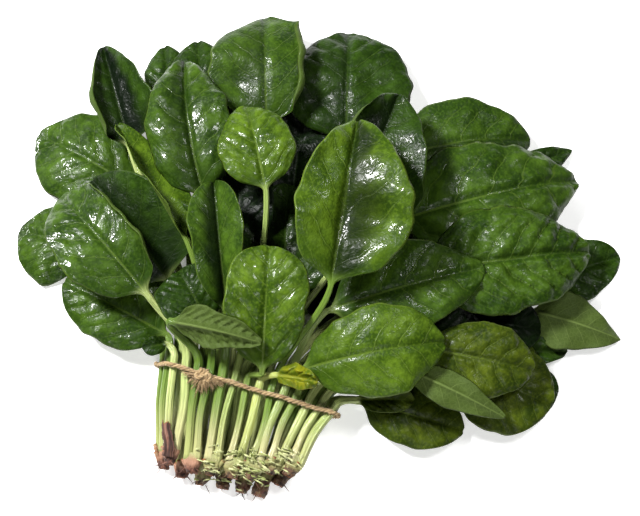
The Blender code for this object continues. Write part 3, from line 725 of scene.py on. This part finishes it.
def leaf_finish(shape, seed):
    _, deep, light, vein = LEAF_TONES[shape.tone]
    given = {"Deep": deep, "Light": light, "Vein": vein, "Underside": UNDERSIDE,
             "Stalk": between(STALK_COLOURS, seed * 5.3),
             "Foot": between(FOOT_COLOURS, seed * 3.1 + 1.0), "Wet": shape.wet,
             "Left painted shade": shape.hollow[0], "Right painted shade": shape.hollow[1], "Seed": seed}
    fixed = {"Coat Roughness": 0.12, "Coat IOR": 1.38, "Specular IOR Level": 0.07}
    return skin_finish(shape.name + "_finish", leaf_skin, given, fixed)


THIN_BLADE = 0.55
RIB_WIDTH = 1.4
STALK_SWAY = 1.8
TOP_POINTS = 41
STEM_RINGS = 16
STALK_RINGS = 18
BLADE_RINGS = 68
FINE_RING = ring_corners(TOP_POINTS)
FINE_STATIONS = np.concatenate((
    np.linspace(0, 1, STEM_RINGS, endpoint=False), np.linspace(1, 2, STALK_RINGS, endpoint=False),
    2.0 + 0.995 * (1 - (1 - np.linspace(0, 1, BLADE_RINGS)) ** 1.15)))


def stalk_ribs(q, angle, seed):
    """The stalk's ribs, the channel along its upper side and its uneven thickness."""
    channel = 0.16 * np.exp(-((angle - np.pi / 2) / 0.45) ** 2) * smooth(q * 3)
    ribs = 0.045 * np.cos(6 * angle + seed) + 0.02 * np.cos(11 * angle + 2 * seed)
    uneven = 0.06 * drift(q * 9, 3.0, seed) + 0.16 * math.sin(seed * 2.7) * smooth(q * 3)
    sheath = 0.22 * np.abs(np.cos(angle)) * (1 - smooth(q / 0.25))
    return 1 + ribs - channel + uneven + sheath


def grow_leaf(shape, seed):
    across, angle, face = FINE_RING
    q = FINE_STATIONS[:, None]
    t = np.clip(q - 2.0, 0, 1)
    relief, widen, x, y, phase, depth = blade_relief(shape, FINE_STATIONS, FINE_RING, seed)
    rings = leaf_rings(shape, found_rise(shape), FINE_STATIONS, FINE_RING, THIN_BLADE, RIB_WIDTH,
                       relief, widen, stalk_ribs(q, angle, seed), STALK_SWAY * math.sin(seed * 4.1))
    settle(rings, FINE_STATIONS, TOP_POINTS)
    values = dict(across=x, along=y, vein=phase, depth=depth, upper=face >= 0, stem=q,
                  rim=np.abs(across), turn=np.cos(angle), on_stalk=1 - smooth(t / 0.10),
                  rib=np.abs(x) / (1.1 * (1 - 0.7 * t)))
    piece = make_mesh(shape.name + "_grown", [(rings, values)], leaf_finish(shape, seed))
    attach(piece, "root")
    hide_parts(shape.name)


for number, shape in enumerate(LEAVES):
    grow_leaf(shape, number + 1.0)


# ------------------------ root crowns
# The foot of each plant where its stalks grow together: a short knobbly reddish root, cut off
# rough, with scars of old stalks, thin rootlets and curled shreds of sheath round its top.
SHEATH_START = -5.0
CROWN_TURNS = 44
CROWN_LOBE = 0.62
BODY_RINGS = 34
LOWEST = 0.05


def tube(path, radii, sides=6, flatten=1.0):
    """Rings round a path, with a frame carried along it."""
    tangent = unit(np.gradient(path, axis=0))
    across = np.cross(tangent[0], UP)
    if np.linalg.norm(across) < 0.05:
        across = np.array((1.0, 0.0, 0.0))
    frames = []
    for run in tangent:
        across = unit(across - run * (across @ run))
        frames.append(across)
    across = np.array(frames)[:, None]
    normal = np.cross(across[:, 0], tangent)[:, None]
    angle = (2 * np.pi * np.arange(sides) / sides)[:, None]
    return path[:, None] + radii[:, None, None] * (across * np.cos(angle)
                                                   + flatten * normal * np.sin(angle))


def crown_skin_group():
    """Colour, gloss and height of a crown: cream sheath, red-brown root, orange cut."""
    group, given, result = new_group(
        "crown_skin", ("Neck", "Sheath", "Root", "Soil", "Cut", "Shred", "Pale shred"),
        ("Seed", "Bare"), ("Roughness", "Height"))
    neck, sheath, root, soil, cut_colour, shred_colour, pale_shred, seed, bare = given
    down, turn, kind, cut = fields(group, "down turn kind cut")
    shift = times(seed, 13.0)
    place = point(turn, down, shift)
    fibres = noise(point(times(turn, 2.2), times(down, 0.35), shift), 1, 3)
    blotches = noise(place, 0.38, 3)
    grit = noise(place, 2.2, 3)
    reach = maths("SUBTRACT", plus(down, times(fibres, 5)), bare)
    sheath = mixed(ramp(reach, -5.5, -0.5), neck, sheath)
    skin = mixed(ramp(reach, 0.6, 4.6), sheath, root)
    skin = mixed(times(ramp(fibres, 0.4, 0.65), 0.45), skin, sheath)
    dirt = times(ramp(blotches, 0.46, 0.60), ramp(reach, 1, 5))
    skin = mixed(times(dirt, 0.85), skin, soil)
    skin = mixed(ramp(grit, 0.62, 0.7, 0, 0.6), skin, soil)
    skin = mixed(cut, skin, mixed(ramp(grit, 0.35, 0.65), cut_colour, root))
    strip = mixed(ramp(blotches, 0.38, 0.58), shred_colour, pale_shred)
    set_inputs(result, {"Base Color": mixed(ramp(kind, 1.4, 1.6), skin, strip),
                        "Roughness": ramp(blotches, 0.3, 0.7, 0.45, 0.8),
                        "Height": plus(times(fibres, 0.5), times(grit, 0.35))})
    return group


CROWN_COLOURS = {"Neck": (0.26, 0.27, 0.11), "Root": (0.075, 0.020, 0.011),
                 "Soil": (0.016, 0.008, 0.006), "Cut": (0.30, 0.10, 0.025),
                 "Shred": (0.16, 0.19, 0.045), "Pale shred": (0.40, 0.41, 0.20)}
SHEATH_PINK = (0.27, 0.14, 0.085)
SHEATH_GREEN = (0.19, 0.18, 0.065)
crown_skin = crown_skin_group()


# Share of the full length, end width and place of the brown skin of the thick, dark crowns.
CROWN_CUTS = {(0, 5): (0.98, 0.86, 2.0), (0, 6): (0.72, 0.75, 0.0), (0, 3): (0.60, 0.70, 0.0),
              (0, 4): (0.56, 0.62, 0.5), (0, 0): (0.72, 0.60, 4.0)}
PALE_TO = 3.0


def crown_body(at, rank, number, rng):
    """The root itself: lobed where the stalks join, knobbly, cut off with a rough end."""
    centre, axis, side = at
    angle = 2 * np.pi * np.arange(CROWN_TURNS) / CROWN_TURNS
    lobes = np.zeros(CROWN_TURNS)
    for column_angle in (150.0, 30.0, -90.0):
        apart = angle - math.radians(column_angle * (1 if rank else -1))
        apart = (apart + np.pi) % (2 * np.pi) - np.pi
        lobes += np.exp(-(apart / CROWN_LOBE) ** 2)
    length, end, _ = CROWN_CUTS.get((rank, number), (rng.uniform(0.48, 0.66),
                                                     rng.uniform(0.48, 0.66), 0))
    length = length * CROWN_LENGTH
    s = np.linspace(SHEATH_START, length, BODY_RINGS)
    share = np.interp(s, (SHEATH_START, -1.0, 1.5, length * 0.45, length * 0.75, length),
                      (0.84, 1.0, 1.0, 0.84, end + 0.10, end))[:, None]
    lobed = 3.7 + 1.9 * lobes
    rounder = smooth(s / 6.0)[:, None]
    radius = (lobed * (1 - rounder) + CROWN_RADIUS * 0.95 * rounder) * share
    knots = 0
    for _ in range(9):
        height = rng.uniform(0.25, 0.6)
        apart = ((s[:, None] - rng.uniform(2, length)) / 1.3) ** 2
        turned = (angle - rng.uniform(0, 2 * np.pi) + np.pi) % (2 * np.pi) - np.pi
        knots = knots + height * np.exp(-apart - turned ** 2 / 0.2)
    ridges = 0.22 * np.sin(5 * angle + rng.uniform(0, 6) + s[:, None] * 0.18) \
        + 0.12 * np.sin(11 * angle + rng.uniform(0, 6) - s[:, None] * 0.3) \
        + 0.14 * np.sin(s[:, None] * 2.4 + 2 * np.cos(angle + rng.uniform(0, 6)))
    radius = radius + (knots + ridges * smooth((s[:, None] + 2) / 4)) * 0.9
    closing = np.array((0.86, 0.62, 0.36, 0.10))
    s_all = np.concatenate((s, length + np.array((0.1, -0.25, 0.15, -0.1))))
    radius = np.concatenate((radius, radius[-1:] * closing[:, None]))
    rough = rng.normal(0, 0.28, (len(s_all), CROWN_TURNS)) * (s_all[:, None] > length - 0.5)
    bend = side * rng.uniform(-1.6, 1.6) + UP * rng.uniform(0.0, 0.8)
    spine = centre - axis * s_all[:, None] + bend * np.clip(s_all / length, 0, 1)[:, None] ** 2
    spokes = side * np.cos(angle)[:, None] + UP * np.sin(angle)[:, None]
    rings = spine[:, None] + spokes * radius[..., None] - axis * rough[..., None]
    cut = np.zeros((len(s_all), CROWN_TURNS))
    cut[BODY_RINGS:] = 1.0
    return (rings, dict(down=s_all[:, None], turn=angle * 4.0, kind=0.0, cut=cut)), length


def rootlet(at, length, rng):
    """A thin root curving out and back from the crown."""
    centre, axis, side = at
    down = rng.uniform(length * 0.4, length)
    out = spoke(side, rng.uniform(0, 2 * np.pi))
    start = centre - axis * down + out * 2.6
    reach = rng.uniform(3.0, 8.0)
    away = unit(out - axis * rng.uniform(0.3, 1.6) + side * rng.normal(0, 0.4))
    s = np.linspace(0, 1, 8)[:, None]
    path = start + away * reach * s + side * rng.normal(0, 1.4) * s ** 2 \
        + UP * rng.normal(-0.8, 1.0) * s ** 2
    path[:, 2] = np.maximum(path[:, 2], 0.4)
    rings = tube(path, np.linspace(rng.uniform(0.3, 0.55), 0.12, 8), 5)
    return rings, dict(down=down + 3 * s, turn=0.0, kind=1.0, cut=0.0)


def stub(at, most_turn, rng):
    """The cut foot of an old stalk beside the crown's top."""
    centre, axis, side = at
    out = spoke(side, rng.uniform(0, most_turn))
    start = centre - axis * rng.uniform(1.0, 5.0) + out * 2.8
    tip = start + unit(axis + out * rng.uniform(0.4, 1.0)) * rng.uniform(4.0, 7.5)
    s = np.linspace(0, 1, 7)[:, None]
    rings = tube(start + (tip - start) * s, np.linspace(1.7, 1.15, 7) * rng.uniform(0.8, 1.1), 9, 0.7)
    return rings, dict(down=4 - 5 * s, turn=s * 0 + 1.0, kind=0.0, cut=(s > 0.95) * 1.0)


def shred(at, hand, rng):
    """A curled pale strip of torn sheath on top of the crown."""
    centre, axis, side = at
    out = spoke(side, rng.uniform(0.15 * np.pi, 0.85 * np.pi))
    start = centre + axis * rng.uniform(-7.0, 10.0) + out * rng.uniform(3.6, 6.8)
    turn = np.linspace(0, rng.uniform(1.5, 5.5), 12)[:, None]
    curl = rng.uniform(1.2, 3.0)
    along, aside = np.clip(rng.normal(0, 1, 2), -0.9, 0.9)
    path = start + out * np.sin(turn) * curl + side * hand * (1 - np.cos(turn)) * curl \
        + (axis * along + side * aside) * turn * 0.8
    wide = rng.uniform(0.22, 0.80) * (1 + 0.3 * rng.normal(0, 1, 12)).clip(0.5, 1.6)
    rings = tube(path, wide * np.sin(np.linspace(0.5, 2.7, 12)), 6, rng.uniform(0.25, 0.5))
    rings[..., 2] = np.maximum(rings[..., 2], 0.2)
    return rings, dict(down=turn, turn=rng.uniform(0, 9), kind=2.0, cut=0.0)


def dry_sheath(at, rng):
    """A dried brown sheath that still clasps the stalks above the first crown."""
    centre, axis, side = at
    s = np.linspace(0, 1, 26)[:, None]
    path = centre + axis * (-4.0 + 19.0 * s) + side * (-1.5 - 2.0 * s + 0.8 * np.sin(s * 5)) \
        + UP * (4.6 + 1.2 * np.sin(s * 3.0))
    rings = tube(path, (3.6 - 1.0 * s[:, 0] + 0.5 * drift(s[:, 0] * 40, 5.0, 3.0)), 24, 0.45)
    turn = 2 * np.pi * np.arange(24) / 24
    ragged = rng.normal(0, 1.0, 24) * s ** 6
    rings = rings + UP * 0.45 * np.sin(turn * 6)[None, :, None] + axis * ragged[..., None]
    return rings, dict(down=5.0 + 2 * s, turn=turn * 3.0, kind=0.0, cut=(s > 0.97) * 1.0)


SHREDS = ((0, 1, 4, 8, 9, 3, 1), (0, 2, 14, 26, 30, 22, 5))
ROOTLETS = 3
STUBS = 3


def grow_crown(rank, number):
    rng = np.random.default_rng(31 * rank + number)
    at = crown_frame(rank, number)
    body, length = crown_body(at, rank, number, rng)
    shells = [body] + [rootlet(at, length, rng) for _ in range(ROOTLETS)]
    shells += [stub(at, np.pi if rank else 2 * np.pi, rng) for _ in range(STUBS)]
    shells += [shred(at, -1 if number == CROWNS - 1 else 1, rng) for _ in range(SHREDS[rank][number])]
    if rank and number == 0:
        shells.append(dry_sheath(at, rng))
    given = dict(CROWN_COLOURS, Sheath=SHEATH_PINK if number < 2 else SHEATH_GREEN,
                 Seed=rank * 10.0 + number, Bare=CROWN_CUTS.get((rank, number), (0, 0, PALE_TO))[2])
    name = f"root_crown_{'upper' if rank else 'lower'}_{number + 1}"
    finish = skin_finish(name + "_finish", crown_skin, given, {"Specular IOR Level": 0.35})
    piece = make_mesh(name + "_grown", shells, finish, LOWEST)
    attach(piece, "root")
    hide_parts(name)


for rank in range(2):
    for number in range(CROWNS):
        grow_crown(rank, number)


# ------------------------ jute cord
# A three-ply jute twine drawn tight round the stalks. The plies wind round each other, and
# loose fibres stand off them.
CORD_REACH = 5.0                        # from a stalk's middle to the cord's
PLIES = 3
PLY_RADIUS = 0.80
PLY_OFFSET = 0.68
TWIST_LENGTH = 8.5
CORD_SPACING = 0.5
CORD_FIBRES = 260


def fibre_skin_group():
    """Colour and height of jute: slanting fibres, with painted shade in the grooves between plies and a
    random darker tone on loose fibres.
    """
    group, given, result = new_group("jute_fibres", ("Dark", "Fibre", "Pale"), (), ("Height",))
    dark, fibre, pale = given
    run, turn, groove = fields(group, "run turn groove")
    slant = plus(turn, times(run, 0.9))
    threads = noise(point(times(slant, 1.6), times(run, 0.28)), 1, 4)
    wear = noise(point(run, turn), 0.12)
    skin = mixed(ramp(threads, 0.35, 0.62), dark, fibre)
    skin = mixed(ramp(threads, 0.55, 0.75, 0, 0.8), skin, pale)
    skin = mixed(ramp(wear, 0.35, 0.65, 0, 0.35), skin, pale)
    # Painted shade darkens each ply on its side towards the other plies; loose fibres get a random darker
    # tone from the same field.
    set_inputs(result, {"Base Color": mixed(times(groove, 0.8), skin, dark), "Height": threads})
    return group


JUTE_COLOURS = {"Dark": (0.15, 0.085, 0.036), "Fibre": (0.33, 0.235, 0.115), "Pale": (0.56, 0.42, 0.23)}
fibre_skin = fibre_skin_group()


def jute_finish(name):
    fixed = {"Roughness": 0.85, "Specular IOR Level": 0.2, "Sheen Weight": 0.15}
    return skin_finish(name, fibre_skin, JUTE_COLOURS, fixed, 0.5 * MM)


def run_along(path):
    return np.concatenate(((0.0,), np.cumsum(np.linalg.norm(np.diff(path, axis=0), axis=1))))


def plied(path, across, outward, rng, slim=1.0):
    """Three plies wound round a path whose frame is given."""
    run = run_along(path)
    shells = []
    for ply in range(PLIES):
        angle = 2 * np.pi * (run / TWIST_LENGTH + ply / PLIES)
        away = across * np.cos(angle)[:, None] + outward * np.sin(angle)[:, None]
        spine = path + away * PLY_OFFSET * slim
        thick = PLY_RADIUS * (1 + 0.08 * drift(run, 2.3, rng.uniform(0, 9))) * slim
        rings = tube(spine, thick, 8)
        inward = -np.einsum("ijk,ik->ij", rings - spine[:, None], away) / PLY_RADIUS
        shells.append((rings, dict(run=run[:, None], turn=np.arange(8) * 0.8 + ply * 7,
                                   groove=np.clip(inward * 0.5 + 0.55, 0, 1))))
    return shells


def loose_fibre(start, away, reach, rng):
    s = np.linspace(0, 1, 6)[:, None]
    curl = unit(rng.normal(0, 1, 3)) * reach * rng.uniform(0.1, 0.45)
    rings = tube(start + away * reach * s + curl * s ** 2, np.linspace(0.07, 0.035, 6), 4)
    return rings, dict(run=s * reach, turn=rng.uniform(0, 20), groove=rng.uniform(0, 0.6))


def cord_path():
    """The cord's closed centreline: the tight wrap round the outer stalks."""
    side = unit(slot(0, COLUMNS - 1) - slot(0, 0))
    corners = [slot(row, column) for row in range(3) for column in (0, COLUMNS - 1)]
    origin = slot(0, 0) * (1.0, 1.0, 0.0)
    flat = np.array([((corner - origin) @ side, corner[2]) for corner in corners])
    theta = np.linspace(0, 2 * np.pi, 1441)
    normal = np.stack((np.cos(theta), np.sin(theta)), 1)
    nearest = np.argmax(flat @ normal.T, axis=0)
    wrap = flat[nearest] + normal * CORD_REACH
    run = run_along(wrap)
    even = np.linspace(0, run[-1], int(run[-1] / CORD_SPACING))
    wrap = np.stack((np.interp(even, run, wrap[:, 0]), np.interp(even, run, wrap[:, 1])), 1)
    ripple = 0.35 * np.cos(2 * np.pi * wrap[:, 0] / 7.5)
    path = origin + side * wrap[:, :1] + UP * (wrap[:, 1:] + ripple[:, None])
    return path, side


def wind_cord():
    rng = np.random.default_rng(5)
    path, side = cord_path()
    across = unit(np.cross(side, UP)) + 0 * path
    tangent = unit(np.gradient(path, axis=0))
    outward = np.cross(across, tangent)
    path = path + across * 0.5 * drift(np.arange(len(path)) * CORD_SPACING, 11.0, 4)[:, None]
    shells = plied(path, across, outward, rng)
    for _ in range(CORD_FIBRES):
        at = rng.integers(2, len(path) - 2)
        angle = rng.uniform(0, 2 * np.pi)
        spoke = across[at] * math.cos(angle) + outward[at] * math.sin(angle)
        away = unit(tangent[at] * rng.choice((-1, 1)) + spoke * rng.uniform(0.15, 0.9))
        shells.append(loose_fibre(path[at] + spoke * 1.15, away, rng.uniform(1.5, 5.0), rng))
    piece = make_mesh("jute_cord_wound", shells, jute_finish("jute_cord_finish"), LOWEST)
    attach(piece, "root")
    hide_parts("jute_cord")


wind_cord()


# ------------------------ jute knot
# The two ends are hitched round the cord on its upper side, and cut short; their plies have
# come apart into a broad brown fan of fibres that lies on the stalks below the knot.
KNOT_COLUMN = 2.6
HITCH_TURNS = 2.6
HITCH_RADIUS = 2.0
HITCH_SPREAD = 4.6
FAN_FIBRES = 240
BOW_FIBRES = 90


def wound(path, guide, rng, slim):
    tangent = unit(np.gradient(path, axis=0))
    across = unit(np.cross(tangent, guide))
    return plied(path, across, np.cross(tangent, across), rng, slim)


def tie_knot():
    rng = np.random.default_rng(8)
    side = unit(slot(2, COLUMNS - 1) - slot(2, 0))
    centre = slot(2, KNOT_COLUMN) + UP * (CORD_REACH + 0.6)
    across = unit(np.cross(UP, side))
    turn = np.linspace(-0.25, HITCH_TURNS, 110)
    angle = 2 * np.pi * turn[:, None]
    path = centre + side * HITCH_SPREAD * (turn[:, None] / HITCH_TURNS - 0.5) \
        + across * np.cos(angle) * HITCH_RADIUS * 1.15 + UP * np.sin(angle) * HITCH_RADIUS
    shells = wound(path, side, rng, 0.95)
    loop = np.linspace(0, 2 * np.pi, 60)[:, None]
    path = centre + UP * 1.4 - across * 1.5 + side * np.sin(loop) * 4.2 \
        + across * np.sin(2 * loop) * 1.9 + UP * np.cos(loop) * 0.9
    shells += wound(path, UP, rng, 0.85)
    for fibre in range(FAN_FIBRES + BOW_FIBRES):
        bow = fibre >= FAN_FIBRES
        lean = rng.uniform(-1.25, 1.25) if not bow else rng.choice((-1, 1)) * 1.35
        lean += rng.normal(0, 0.12)
        start = centre + side * (lean * 2.2 + rng.normal(0, 0.6)) - across * rng.uniform(0, 2) \
            + UP * rng.uniform(-0.8, 1.6)
        away = unit(side * math.sin(lean) - across * math.cos(lean) * (0.5 if bow else 1.0)
                    + UP * rng.uniform(-0.05, 0.3))
        reach = rng.uniform(5.0, 10.5) * (1.0 if bow else 1 - 0.25 * abs(lean))
        s = np.linspace(0, 1, 9)[:, None]
        swirl = (side * rng.normal(0, 0.9) - across * rng.normal(0.6, 0.9)) * s ** 2
        sag = UP * (-rng.uniform(1.6, 4.2)) * s ** 2
        rings = tube(start + away * reach * s + swirl + sag,
                     np.linspace(1.0, 0.55, 9) * rng.uniform(0.10, 0.24), 5)
        shells.append((rings, dict(run=s * reach, turn=rng.uniform(0, 30),
                                   groove=rng.uniform(0.0, 0.75))))
    piece = make_mesh("jute_knot_tied", shells, jute_finish("jute_knot_finish"), LOWEST)
    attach(piece, "root")
    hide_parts("jute_knot")


tie_knot()
